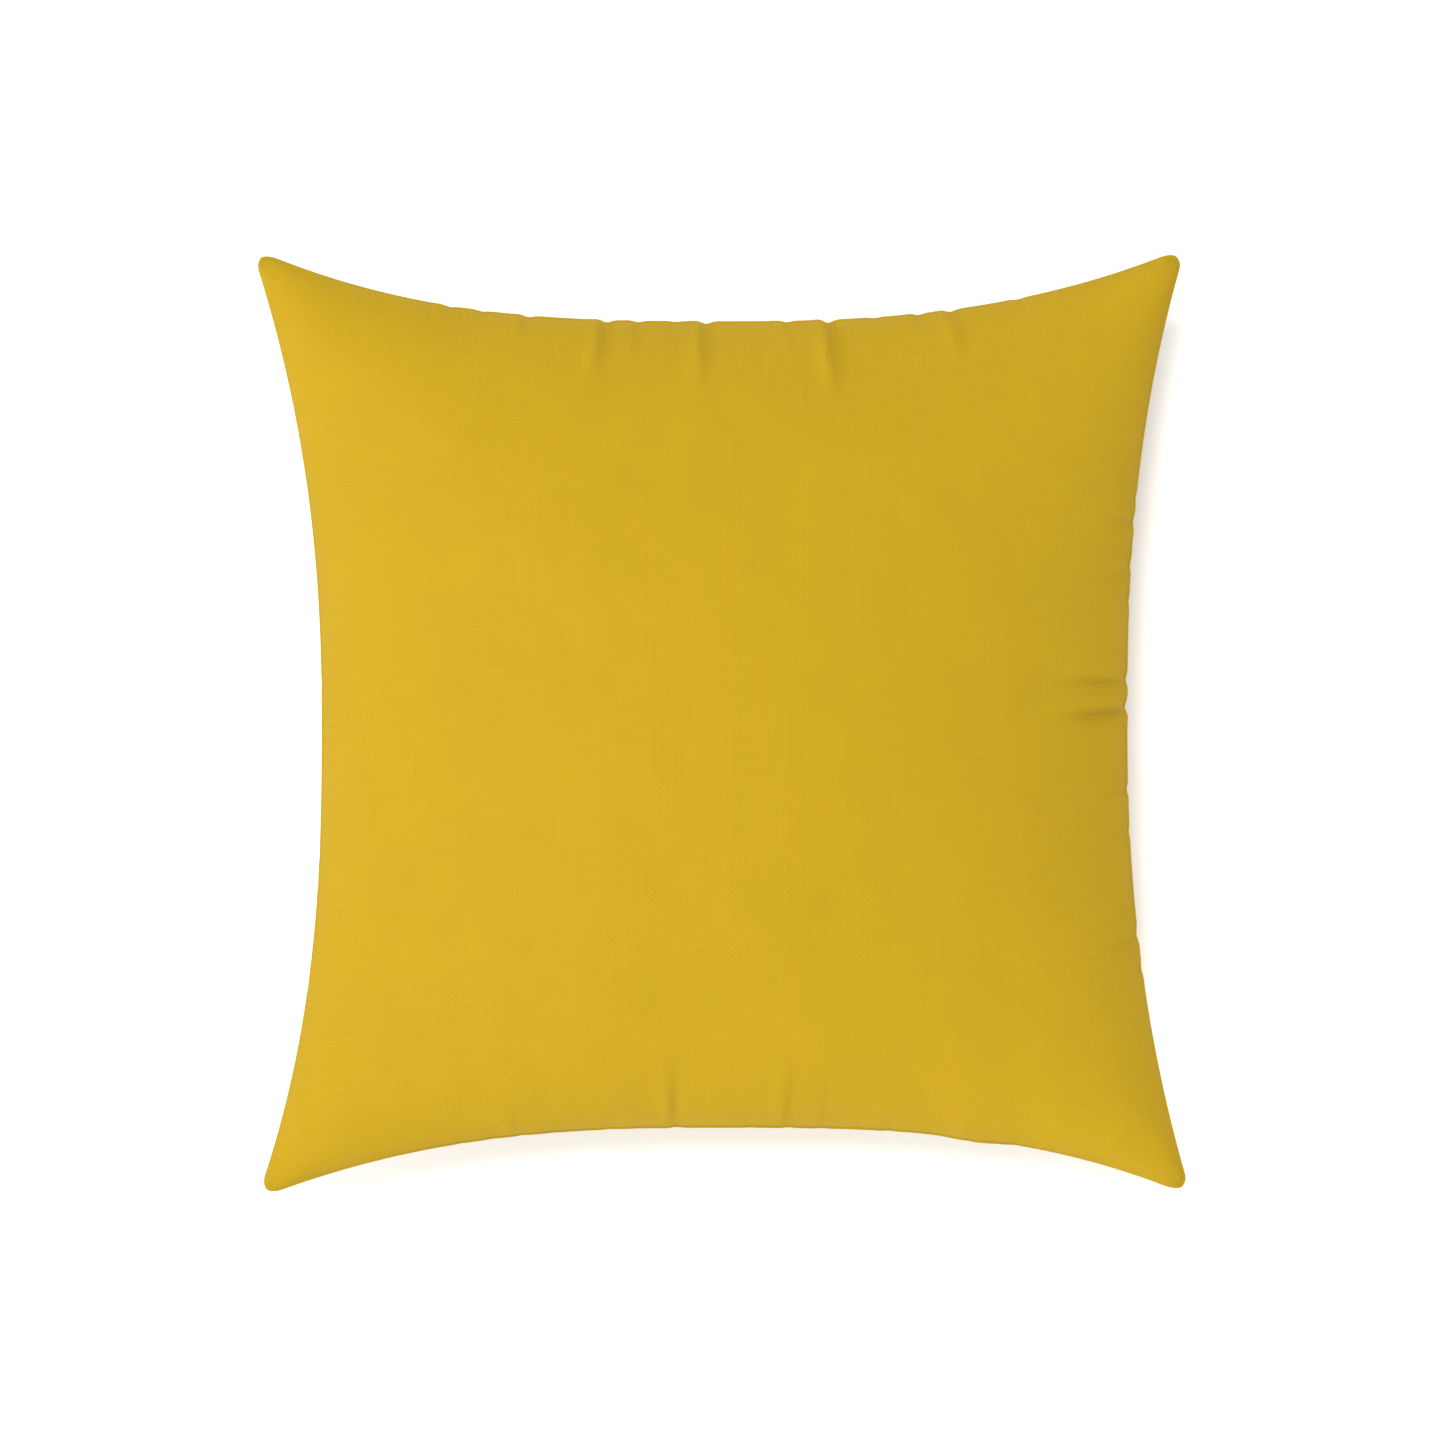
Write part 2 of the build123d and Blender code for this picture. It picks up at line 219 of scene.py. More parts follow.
def side_reach(across, along, low, high, inside, clear_zip):
    """How far a side lies from the centre, at a share from -1 to 1 along it, less a distance inside it.

    middle + (corner - middle) * |share|^power. The lower side adds room * exp(-((x - place) / spread)^2)
    over the slider. Where it has to clear the zip, it keeps its distance from the zip's arc instead.
    """
    middle = MIDDLE[across]
    x_wise = across in ("left", "right")
    tips = TIP_X if x_wise else TIP_Y
    key_low = (across, low) if x_wise else (low, across)
    key_high = (across, high) if x_wise else (high, across)
    tip = np.where(along < 0, tips[key_low], tips[key_high])
    power = np.where(along < 0, SIDE_POWERS[across, low], SIDE_POWERS[across, high])
    share = np.abs(along) * (STRAIGHT_SHARE + (1 - STRAIGHT_SHARE) * along**2)
    reach = middle + (tip - middle) * share**power
    if across == "bottom":
        x = along * (MIDDLE["right"] + (TIP_X["right", "bottom"] - MIDDLE["right"]) * along**2)
        reach = reach + SLIDER_ROOM * np.exp(-(((x - SLIDER_PLACE) / SLIDER_SPREAD) ** 2))
    if clear_zip and across == "bottom":
        beside_zip = 1 - smooth_step(np.abs(x), OPENING_HALF, OPENING_HALF + CLEARING_RAMP)
        return reach - inside - beside_zip * (reach - inside - arc_reach(x) + LIP_AT_ZIP)
    return reach - inside


def plan(u, v, inside=0.0, clear_zip=False):
    """Place seen from above of a point at shares u, v from -1 to 1, a distance inside the edge.

    The hollow in a side fades inwards with the square of the share across. The tips are rounded.
    """
    right = side_reach("right", v, "bottom", "top", inside, clear_zip)
    left = side_reach("left", v, "bottom", "top", inside, clear_zip)
    top = side_reach("top", u, "left", "right", inside, clear_zip)
    bottom = side_reach("bottom", u, "left", "right", inside, clear_zip)
    straight_x = np.where(u < 0, MIDDLE["left"], MIDDLE["right"]) - inside
    straight_y = np.where(v < 0, MIDDLE["bottom"], MIDDLE["top"]) - inside
    x = u * (straight_x + (np.where(u < 0, left, right) - straight_x) * u**2)
    y = v * (straight_y + (np.where(v < 0, bottom, top) - straight_y) * v**2)
    return round_tips(x, y, inside)


def at_corner(table, x, y):
    """Each point's value for the corner that it lies towards."""
    lower = np.where(x < 0, table["left", "bottom"], table["right", "bottom"])
    upper = np.where(x < 0, table["left", "top"], table["right", "top"])
    return np.where(y < 0, lower, upper)


def round_tips(x, y, inside):
    """Draws each pointed tip back onto a circle.

    Along the diagonal, a point at a share q of the way from the start of the rounding to the
    pointed outline moves back by q^2 of the gap between that outline and the circle.
    """
    back = TIP_RADIUS / np.sin(TIP_HALF_ANGLE)
    along_x = np.abs(x) - at_corner(TIP_X, x, y) + inside + back / np.sqrt(2)
    along_y = np.abs(y) - at_corner(TIP_Y, x, y) + inside + back / np.sqrt(2)
    out = (along_x + along_y) / np.sqrt(2)
    off = np.minimum(np.abs(along_x - along_y) / np.sqrt(2), TIP_RADIUS * np.cos(TIP_HALF_ANGLE))
    pointed = back - off / np.tan(TIP_HALF_ANGLE)
    circle = np.sqrt(TIP_RADIUS**2 - off**2)
    q = np.clip((out + TIP_SOFTENED) / (pointed + TIP_SOFTENED), 0, 1.05)
    drawn = (pointed - circle) * q**2 / np.sqrt(2)
    return x - np.sign(x) * drawn, y - np.sign(y) * drawn


def crown_angle(share, rise):
    """Angle from the crown at a share of the cloth's length to the edge.

    Equal shares are equal lengths of a quarter ellipse.
    """
    angle = np.linspace(0, np.pi / 2, 400)
    step = np.hypot(MIDDLE["top"] * np.cos(angle), rise * np.sin(angle))
    length = np.concatenate([[0], np.cumsum((step[1:] + step[:-1]) / 2)])
    return np.sign(share) * np.interp(np.abs(share), length / length[-1], angle)


def soft_floor(depth, limit, blend):
    """Depth that runs smoothly into a limit, over a blend's length."""
    over = depth - limit
    return depth - 0.5 * (over + np.sqrt(over**2 + blend**2)) + 0.5 * (np.sqrt(limit**2 + blend**2) - limit)


def half_pillow(s, t, facing):
    """Surface of one panel at cloth shares s, t: rise * cos(a) * cos(b) above its edge.

    a and b are the crown angles of s and t, so a cut across the middle is an ellipse. The back
    runs into the flat patch that it rests on.
    """
    rise = CROWN if facing > 0 else BACK_RISE
    a = crown_angle(s, rise)
    b = crown_angle(t, rise)
    x, y = plan(np.sin(a), np.sin(b), LIP, facing < 0)
    foot = LIP_FOOT
    height = (rise - foot) * np.cos(a) * np.cos(b)
    if facing < 0:
        height = soft_floor(height, SEAM - foot, PATCH_BLEND)
    return np.stack([x, y, SEAM + facing * (foot + height)], axis=-1)


DIP_REACH = 7  # how far in the edge's dips are felt, and where puckers stand straight up (mm)
UPRIGHT_REACH = 14
EDGE_POWER = 60  # how sharply the unevenness stops at the seam
TURN_POWER = 41  # and how sharply the way inwards turns at a corner

# Puckers: side, place along it, slant inwards, how far they run in, height, half width (mm).
# A height below zero is a crease with a narrower ridge.
PUCKERS = (
    ("top", -130, 0, 11, 3.4, 3.4), ("top", -115, 0, 12, 2.8, 3.4), ("top", -93, -2, 17, 4.1, 3.4),
    ("top", -56, -2, 32, 5.7, 3.5), ("top", -41, 0, 24, 3.4, 3.2), ("top", -23.5, 0, 16, 1.7, 3.4),
    ("top", -9, 1, 36, 5.7, 3.6), ("top", 29.5, 6, 20, 3.4, 3.2), ("top", 49, 6, 42, 7.2, 3.5),
    ("top", 71, 0, 10, 2.2, 3.2), ("top", 92, 0, 12, 3.8, 3.2), ("top", 107, 8, 27, 5.1, 3.4),
    ("top", 139, 0, 10, 2.5, 3.4),
    ("bottom", -125, 0, 8, 0.7, 3.4), ("bottom", -110, 0, 9, 1.0, 3.2), ("bottom", -96, -4, 22, 1.4, 3.4),
    ("bottom", -81, 0, 8, 0.7, 3.2), ("bottom", -54.5, 0, 15, 1.0, 3.2), ("bottom", -41, 4, 14, 0.7, 3.2),
    ("bottom", -23, 0, 42, 2.1, 3.5), ("bottom", 12, 0, 11, 0.8, 3.2), ("bottom", 30, 3, 40, 1.6, 3.3),
    ("bottom", 46, 3, 30, 1.1, 3.3), ("bottom", 78, 2, 17, 1.1, 3.2), ("bottom", 115, 4, 18, 1.1, 3.3),
    ("bottom", 137, 3, 16, 1.4, 3.4),
    ("right", 105, 0, 9, -1.8, 3.2), ("right", 94, 2, 17, -3.2, 3.3), ("right", 73, -6, 17, -2.7, 3.3),
    ("right", 56, 0, 8, -1.8, 3.2), ("right", 19, 2, 40, -4.5, 3.4), ("right", 6, -2, 42, -6.2, 3.5),
    ("right", -33, -1, 17, -3.2, 3.2), ("right", -53, 0, 11, -2.1, 3.2), ("right", -102, -4, 18, -3.8, 3.5),
    ("right", -118, 0, 9, -2.1, 3.4),
    ("left", 109, 0, 12, 0.5, 3.4), ("left", 17, 2, 38, 1.1, 3.6), ("left", -64, 2, 26, 0.8, 3.6),
    ("left", -78, 0, 12, 0.8, 3.4), ("left", -127, 0, 13, 0.6, 3.4),
)


def side_place(points, side):
    """Distance along a side from its middle, and distance inside it, of points in plan (mm)."""
    x, y = points[..., 0] / MM, points[..., 1] / MM
    reach = MIDDLE[side] / MM
    along, across = (x, y) if side in ("top", "bottom") else (y, x)
    outwards = across if side in ("top", "right") else -across
    half, bow = 223.0, 33.0
    edge = reach + bow * np.abs(along / half) ** SIDE_POWER
    return along, edge - outwards


def seam_distance(points):
    """Distance inside the nearest side, of points in plan (mm)."""
    return np.min([side_place(points, side)[1] for side in MIDDLE], axis=0)


def pucker(points):
    """Height of the puckers at points in plan: beside the seam, each is a ridge with a narrower crease.

    Across it: exp(-(d + w/2)^2 / w^2) - 0.9 exp(-(d - w/2)^2 / (0.7 w)^2), for a distance d and a
    half width w. It fades inwards as (1 - inside / length)^1.1 and widens a little as it goes.
    """
    total = np.zeros(points.shape[:-1])
    for side, place, slant, length, height, width in PUCKERS:
        along, inside = side_place(points, side)
        share = np.clip(inside / length, 0, 1)
        d = along - place - slant * share
        w = width * (1 + 0.3 * share)
        ridge = np.exp(-((d + w / 2) / w) ** 2) - 0.9 * np.exp(-((d - w / 2) / (0.7 * w)) ** 2)
        total += height * ridge * (1 - share) ** 1.1
    return total * MM


def notch(along, side):
    """How far the creases pull the edge in.

    Each adds 0.24 h exp(-(d / 0.8 w)^2) - 0.06 h exp(-((d + w) / w)^2), for its height h and half
    width w, and a distance d from the crease.
    """
    total = np.zeros_like(along)
    for name, place, _, _, height, width in PUCKERS:
        if name == side:
            d = along / MM - place - width / 2
            total += 0.24 * abs(height) * np.exp(-((d / (0.8 * width)) ** 2))
            total -= 0.06 * abs(height) * np.exp(-(((d + width) / width) ** 2))
    return total * MM


# ---------------------------------------------------------------- simulation of the filled cover

def filled(front, back, flat):
    """Both panels after the filling has pressed them out.

    The panels make one closed mesh, held at the seam and at the resting patch. Their cloth is at
    rest as flat squares, so its spare length at the hollow sides has to gather, and pressure
    fills the rest. No point moves more than the cap.
    """
    n = front.shape[0]
    points = np.concatenate([front.reshape(-1, 3), back.reshape(-1, 3)])
    index = numbered(n, n)
    rim = rim_of(index)
    band = quads(np.stack([rim, rim + n * n]), close_columns=True)
    upper = quads(index)
    lower = quads(index + n * n)[:, ::-1]
    piece = mesh_object("filling_trial", points, np.concatenate([upper, lower, band]))
    held = piece.vertex_groups.new(name="held")
    patch = np.flatnonzero(points[:, 2] < 0.4 * MM)
    fixed = np.unique(np.concatenate([rim, rim + n * n, patch]))
    held.add(fixed.tolist(), 1.0, "REPLACE")
    piece.shape_key_add(name="Basis")
    cut = piece.shape_key_add(name="cut")
    cut.data.foreach_set("co", np.concatenate([flat.reshape(-1, 3)] * 2).astype(np.float32).ravel())
    cut.value = 0.0
    cloth = piece.modifiers.new("cloth", "CLOTH")
    settings = cloth.settings
    settings.rest_shape_key = cut
    settings.vertex_group_mass = "held"
    settings.quality = 6
    settings.mass = 0.2
    settings.tension_stiffness = 25
    settings.compression_stiffness = 25
    settings.shear_stiffness = 8
    settings.bending_stiffness = 1.5
    settings.tension_damping = 12
    settings.compression_damping = 12
    settings.air_damping = 4
    settings.use_pressure = True
    settings.uniform_pressure_force = 4
    settings.effector_weights.gravity = 0
    scene = bpy.context.scene
    cloth.point_cache.frame_start = 1
    cloth.point_cache.frame_end = SIM_FRAMES
    for step in range(1, SIM_FRAMES + 1):
        scene.frame_set(step)
    evaluated = piece.evaluated_get(bpy.context.evaluated_depsgraph_get()).to_mesh()
    result = np.empty(len(evaluated.vertices) * 3, np.float32)
    evaluated.vertices.foreach_get("co", result)
    moved = result.reshape(-1, 3).astype(float) - points
    distance = np.linalg.norm(moved, axis=1, keepdims=True)
    moved *= np.minimum(1, SIM_CAP / np.maximum(distance, 1e-9))
    print("filling moved the cloth by up to", round(float(distance.max()) / MM, 1), "mm, mean",
          round(float(distance.mean()) / MM, 2))
    scene.frame_set(1)
    bpy.data.objects.remove(piece)
    points = points + moved
    return points[: n * n].reshape(n, n, 3), points[n * n:].reshape(n, n, 3)


def resampled(points, shares):
    """Grid points at new shares from -1 to 1 both ways: cubics through each four neighbours."""
    for _ in range(2):
        first = 2 * points[:1] - points[1:2]
        last = 2 * points[-1:] - points[-2:-1]
        padded = np.concatenate([first, points, last])
        place = (shares + 1) / 2 * (len(points) - 1)
        start = np.minimum(place.astype(int), len(points) - 2)
        f = (place - start)[:, None, None]
        a, b, c, d = (padded[start + k] for k in range(4))
        cube = 1.5 * (b - c) + (d - a) / 2
        points = b + f * ((c - a) / 2 + f * (a - 2.5 * b + 2 * c - d / 2 + f * cube))
        points = points.swapaxes(0, 1)
    return points


def close_shares(count):
    """Shares from -1 to 1 that lie closer in the middle, where the puckers are, than at the corners."""
    even = np.linspace(-1, 1, count)
    return even * (0.80 + 0.20 * even**4)


# ---------------------------------------------------------------- panels of the cover

# Outside of the cloth from the foot of the wall out to the seam, round it and back inside:
# distance inside the edge, and height off the seam (mm)
LIP_PROFILE = (
    (1.3, 1.5), (0.9, 1.3), (0.55, 1.14), (0.28, 0.96), (0.1, 0.72), (0.08, 0.42), (0.2, 0.14), (0.5, 0.04),
    (1.4, 0.03),
)
ALLOWANCE = (4.6, 12.0)  # where the turned cloth starts to lie flat, and its raw edge (mm)
# In front of the zip: the lap, its turned skirt, and the allowance on the front tape
LAP_PROFILE = LIP_PROFILE + (
    (4.1, 0.0), (4.25, -1.6), (4.75, -1.95), (5.2, -1.5), (5.5, 0.9), (6.2, 2.2), (7.2, 5.0), (7.5, 10.0),
)
# Below the zip: the wall's turned edge, and the allowance on the back tape
TURN_PROFILE = (
    (4.35, 4.7), (4.42, 4.5), (4.5, 4.3), (4.62, 4.15), (4.8, 4.1), (5.0, 4.15), (5.15, 4.4), (5.2, 5.0),
    (5.25, 5.8), (5.7, 6.8), (6.9, 8.0), (8.7, 9.3), (10.6, 10.9), (12.3, 14.2),
)


def lip_profile(count):
    """The lip's profile with its allowance in even steps, count rows in all."""
    rows = count - len(LIP_PROFILE)
    flat = np.column_stack([np.linspace(*ALLOWANCE, rows), np.full(rows, LIP_PROFILE[-1][1])])
    return np.vstack([LIP_PROFILE, flat]) * MM


def normals_of(points):
    """Unit normals of a grid: the cross product of its two directions."""
    across = np.gradient(points, axis=0)
    along = np.gradient(points, axis=1)
    normal = np.cross(across, along)
    return normal / np.linalg.norm(normal, axis=-1, keepdims=True)


def on_arc(x, inside, z):
    """Points at distances inside the zip's arc, on the radius through the arc's point at x."""
    turn = np.arcsin(x / EDGE_RADIUS)
    reach = EDGE_RADIUS + inside
    return np.stack([reach * np.sin(turn), ZIP_CENTRE[1] + reach * np.cos(turn), z + 0 * turn], axis=-1)


def cover_panel(name, s, t, points, facing):
    """Panel of the cover: its crowned surface, the lip, and the allowance turned inside.

    From the rim of the crowned grid, each row of the profile is one ring: the plan at that
    distance inside the edge, at the row's height. At the zip the rings run into the lap or the
    turned edge, which keep their distance from the zip's arc.
    """
    n = len(s)
    zip_profile = np.array(LAP_PROFILE if facing > 0 else TURN_PROFILE) * MM
    profile = lip_profile(len(zip_profile))
    puckers = pucker(points) * (1 if facing > 0 else 0.8)
    near_edge = np.maximum(np.abs(s), np.abs(t)) ** EDGE_POWER
    dipped = np.zeros(points.shape[:2] + (2,))
    for side, way in (("bottom", (0, 1)), ("right", (-1, 0)), ("top", (0, -1)), ("left", (1, 0))):
        along, inside = side_place(points, side)
        dipped += (notch(along * MM, side) * np.exp(-((inside / DIP_REACH) ** 2)))[..., None] * np.array(way)
    swell = puckers + SWELL * (lumps(points, SWELL_BROAD, 11) + 0.6 * lumps(points, SWELL_FINE, 12))
    clear = np.ones(points.shape)
    clear[..., :2] = (1 - 0.8 * np.exp(-((seam_distance(points) / UPRIGHT_REACH) ** 2)))[..., None]
    points = points + facing * (swell * (1 - near_edge))[..., None] * normals_of(points) * clear
    points[..., :2] += dipped

    rise = CROWN if facing > 0 else BACK_RISE
    u = np.sin(crown_angle(s, rise))
    v = np.sin(crown_angle(t, rise))
    rim = rim_of(numbered(n, n))
    rim_u, rim_v = u.ravel()[rim], v.ravel()[rim]
    lower = np.zeros(len(rim))
    lower[:n] = 1
    x, y = plan(rim_u, rim_v)
    at_zip = lower * at_opening(x)

    # Below the zip the wall is squeezed down from the lip's height to the turned edge's
    if facing < 0:
        depth = SEAM - points[..., 2]
        foot, turned, unmoved = profile[0, 1], zip_profile[0, 1], 10 * MM
        steepness = (unmoved - turned) / (unmoved - foot)
        squeezed = np.where(depth < unmoved, turned + (depth - foot) * steepness, depth)
        near = at_opening(points[..., 0]) * (points[..., 1] < 0)
        points[..., 2] -= near * (squeezed - depth)

    sides = np.repeat(["bottom", "right", "top", "left"], n - 1)
    dips = np.zeros(len(rim))
    for side in ("bottom", "right", "top", "left"):
        along = x if side in ("bottom", "top") else y
        dips += np.where(sides == side, notch(along, side), 0)
    rim_place = np.stack([rim_u, rim_v], axis=-1)
    inward = -np.sign(rim_place) * np.abs(rim_place) ** TURN_POWER
    inward /= np.linalg.norm(inward, axis=-1, keepdims=True)

    rings = []
    edge_inside = arc_reach(x) + y  # how far the edge lies inside the zip's arc
    for (inside, height), (zip_inside, zip_height) in zip(profile[1:], zip_profile[1:]):
        ring_x, ring_y = plan(rim_u, rim_v, inside)
        ring = np.stack([ring_x, ring_y, np.full(len(rim), SEAM + facing * height)], axis=-1)
        share = np.clip(1 - zip_inside / LIP_AT_ZIP, 0, 1)
        zip_ring = on_arc(x, zip_inside + share * edge_inside, SEAM + facing * zip_height)
        ring += at_zip[:, None] * (zip_ring - ring)
        ring[:, :2] += inward * (dips * np.clip(2 - inside / LIP, 0, 1))[:, None]
        rings.append(ring)
    all_points = np.vstack([points.reshape(-1, 3)] + rings)

    step = np.hypot(*np.diff(profile, axis=0).T)
    out = np.cumsum(step)[:, None, None] * -inward
    flat_rim = np.stack([s, t], axis=-1).reshape(-1, 2) * CUT
    uv = np.vstack([flat_rim, (flat_rim[rim] + out).reshape(-1, 2)])

    index = numbered(len(rings), len(rim), n * n)
    faces = np.vstack([quads(numbered(n, n)), quads(np.vstack([rim, index]), close_columns=True)])
    piece = mesh_object(name, all_points, faces if facing > 0 else faces[:, ::-1], uv)
    thicken(piece, CLOTH)
    return piece


def thicken(piece, thickness):
    """Gives a surface the thickness of its cloth, inwards from the outside."""
    wall = piece.modifiers.new("cloth_thickness", "SOLIDIFY")
    wall.thickness = thickness
    wall.offset = -1
    wall.use_even_offset = False
    return piece


# ---------------------------------------------------------------- threads, tapes and coils

def square_loop(count):
    """Shares u, v round a square from its lower left corner, anticlockwise, count along each side."""
    side = np.linspace(-1, 1, count + 1)[:-1]
    one = np.ones_like(side)
    return np.concatenate([side, one, -side, -one]), np.concatenate([-one, side, one, -side])


def edge_loop(inside, count=4000):
    """Closed line round the cover at a distance inside its edge, as places in plan evenly far apart."""
    x, y = plan(*square_loop(800), inside)
    return even_line(np.stack([x, y], axis=-1), count, closed=True)


def even_line(line, count, closed=False):
    """Points evenly far apart along a line of points, closed or open."""
    if closed:
        line = np.vstack([line, line[:1]])
    length = np.concatenate([[0], np.cumsum(np.linalg.norm(np.diff(line, axis=0), axis=1))])
    places = np.linspace(0, length[-1], count, endpoint=not closed)
    return np.stack([np.interp(places, length, line[:, k]) for k in range(line.shape[1])], axis=-1)


def line_length(line, closed=False):
    steps = np.diff(np.vstack([line, line[:1]]) if closed else line, axis=0)
    return float(np.linalg.norm(steps, axis=1).sum())


def unit(vectors):
    return vectors / np.maximum(np.linalg.norm(vectors, axis=-1, keepdims=True), 1e-12)


def tube(path, radius, sides=6, closed=False):
    """Points and quads of a round tube: a circle carried along a path, closed or with domed ends.

    The circle turns with the path by its tangent and the vertical; an open tube's last circles
    shrink to a point.
    """
    if closed:
        tangent = unit(np.roll(path, -1, axis=0) - np.roll(path, 1, axis=0))
        radii = np.full(len(path), radius)
    else:
        tangent = unit(np.gradient(path, axis=0))
        first, last = path[:1], path[-1:]
        dome = 0.7 * radius
        path = np.vstack([first - tangent[:1] * dome, first, path[1:-1], last, last + tangent[-1:] * dome])
        tangent = np.vstack([tangent[:1], tangent, tangent[-1:]])
        radii = np.full(len(path), radius)
        radii[[0, -1]] = radius * 0.02
    upright = np.where(np.abs(tangent[:, 2:]) > 0.95, [[1.0, 0, 0]], [[0, 0, 1.0]])
    side = unit(np.cross(tangent, upright))
    up = np.cross(side, tangent)
    turn = np.linspace(0, 2 * np.pi, sides, endpoint=False)
    circle = side[:, None] * np.cos(turn)[None, :, None] + up[:, None] * np.sin(turn)[None, :, None]
    points = path[:, None] + circle * radii[:, None, None]
    faces = quads(numbered(len(path), sides), close_rows=closed, close_columns=True)
    return points.reshape(-1, 3), faces[:, ::-1]


def joined(parts):
    """One array of points and one of quads from several."""
    first = np.cumsum([0] + [len(points) for points, _ in parts[:-1]])
    points = np.vstack([points for points, _ in parts])
    return points, np.vstack([faces + start for (_, faces), start in zip(parts, first)])


def stitches(middles, along, lift, length, radius):
    """Points and quads of many short stitches: each a thread's length, thick in its middle.

    A stitch at share q from -1 to 1 has its centre at middle + q * length/2 * along, raised by
    radius * (1 - q^2), and a round section of radius * sqrt(1 - q^2).
    """
    q = np.array([-1, -0.75, -0.25, 0.25, 0.75, 1.0])
    turn = np.linspace(0, 2 * np.pi, 6, endpoint=False)
    side = unit(np.cross(along, lift))
    swell = np.sqrt(np.maximum(1 - q**2, 0.0004))
    centre = middles[:, None] + q[None, :, None] * (length / 2) * along[:, None]
    centre = centre + radius * (1 - q[None, :, None] ** 2) * lift[:, None]
    circle = side[:, None] * np.cos(turn)[None, :, None] + lift[:, None] * np.sin(turn)[None, :, None]
    points = centre[:, :, None] + radius * swell[None, :, None, None] * circle[:, None]
    one = quads(numbered(len(q), len(turn)), close_columns=True)
    faces = one[None] + (len(q) * len(turn)) * np.arange(len(middles))[:, None, None]
    return points.reshape(-1, 3), faces.reshape(-1, 4)[:, ::-1]


def line_of_stitches(line, pitch, lift, length, radius, closed=False):
    """Stitches evenly spaced along a line."""
    count = max(2, round(line_length(line, closed) / pitch))
    places = even_line(line, count, closed)
    if closed:
        along = unit(np.roll(places, -1, axis=0) - np.roll(places, 1, axis=0))
    else:
        along = unit(np.gradient(places, axis=0))
    lifts = np.broadcast_to(np.asarray(lift, float), places.shape)
    return places, stitches(places, along, lifts, length, radius)


def seam_stitching(name):
    """Lockstitch beside the lip: a row of stitches on each side of the two allowances."""
    loop = edge_loop(SEAM_LINE)
    rows = []
    for facing in (1, -1):
        line = np.column_stack([loop, np.full(len(loop), SEAM + facing * ALLOWANCE_LAYER)])
        line = from_zip_end(line)
        rows.append(line_of_stitches(line, STITCH, (0, 0, facing), 0.82 * STITCH, THREAD / 2)[1])
    return mesh_object(name, *joined(rows))


def from_zip_end(loop):
    """The part of a closed line where the panels are sewn together, from one zip end to the other."""
    sewn = (np.abs(loop[:, 0]) > OPENING_HALF) | (loop[:, 1] > 0)
    start = np.flatnonzero(~sewn)[-1] + 1
    return np.roll(loop, -start, axis=0)[: np.count_nonzero(sewn)]


def overlock(name, line, pitch, reach, rise, closed):
    """Thread wound round a raw edge: a flattened helix, reach across and rise high, along a line."""
    turns = round(line_length(line, closed) / pitch)
    places = even_line(line, turns * 8, closed)
    along = unit(np.gradient(places, axis=0))
    across = unit(np.cross(along, [0, 0, 1.0]))
    turn = np.linspace(0, 2 * np.pi * turns, len(places), endpoint=not closed)[:, None]
    path = places + across * reach * np.cos(turn) + np.array([0, 0, rise]) * np.sin(turn)
    return mesh_object(name, *tube(path, OVERLOCK_THREAD / 2, 5, closed))


def cover_overlock(name):
    loop = edge_loop(ALLOWANCE[1] * MM - 1.2 * MM, 8000)
    line = np.column_stack([loop, np.full(len(loop), SEAM)])
    return overlock(name, from_zip_end(line), *COVER_OVERLOCK, False)


def zip_coil(name, side):
    """One row of the zip's coil: a flattened helix of nylon along the arc.

    Each turn runs out to the chain's middle, where its head meets the other row's, and back to
    the tape.
    """
    length = 2 * CHAIN_HALF
    turns = round(length / COIL_PITCH)
    x = np.linspace(-CHAIN_HALF, CHAIN_HALF, turns * 12 + 1)
    turn = 2 * np.pi * turns * (x + CHAIN_HALF) / length
    half_height = (COIL_WIDTH - COIL_WIRE) / 2
    half_depth = (COIL_DEPTH - COIL_WIRE) / 2
    z = SEAM - CHAIN_DROP + side * (ROW_GAP + COIL_WIDTH) / 2 + half_height * np.cos(turn)
    head = np.abs(np.sin(turn)) ** 0.8 * np.sign(np.sin(turn))
    path = on_arc(x, CHAIN_DEPTH + half_depth * head, z)
    return mesh_object(name, *tube(path, COIL_WIRE / 2, 6))


def zip_tape(name, line):
    """Tape of the zip: a rounded path across it, carried along the arc, with its thickness."""
    corners = np.array(line) * MM
    across = even_line(rounded(corners, 6), 25)
    x = np.linspace(-TAPE_HALF, TAPE_HALF, 221)
    grid = np.stack([on_arc(x, inside + TAPE / 2, SEAM + z) for inside, z in across], axis=1)
    width = np.concatenate([[0], np.cumsum(np.linalg.norm(np.diff(across, axis=0), axis=1))])
    uv = np.stack(np.meshgrid(x, width, indexing="ij"), axis=-1).reshape(-1, 2)
    faces = quads(numbered(len(x), len(across)))
    piece = mesh_object(name, grid.reshape(-1, 3), faces, uv)
    thicken(piece, TAPE)
    return piece, float(width[-1])


def rounded(corners, times):
    """A line of corners with each corner cut at a quarter of its sides, several times over."""
    line = corners
    for _ in range(times):
        near = 0.75 * line[:-1] + 0.25 * line[1:]
        far = 0.25 * line[:-1] + 0.75 * line[1:]
        line = np.vstack([line[:1], np.stack([near, far], axis=1).reshape(-1, line.shape[1]), line[-1:]])
    return line


def zip_stitching(name, inside, height):
    """Line of stitches that holds a tape to its allowance, along the arc."""
    x = np.linspace(-TAPE_HALF, TAPE_HALF, 600)
    line = on_arc(x, inside * MM, SEAM + height * MM)
    return mesh_object(name, *line_of_stitches(line, STITCH, (0, 1, 0), 0.82 * STITCH, THREAD / 2)[1])


# ---------------------------------------------------------------- care label and insert

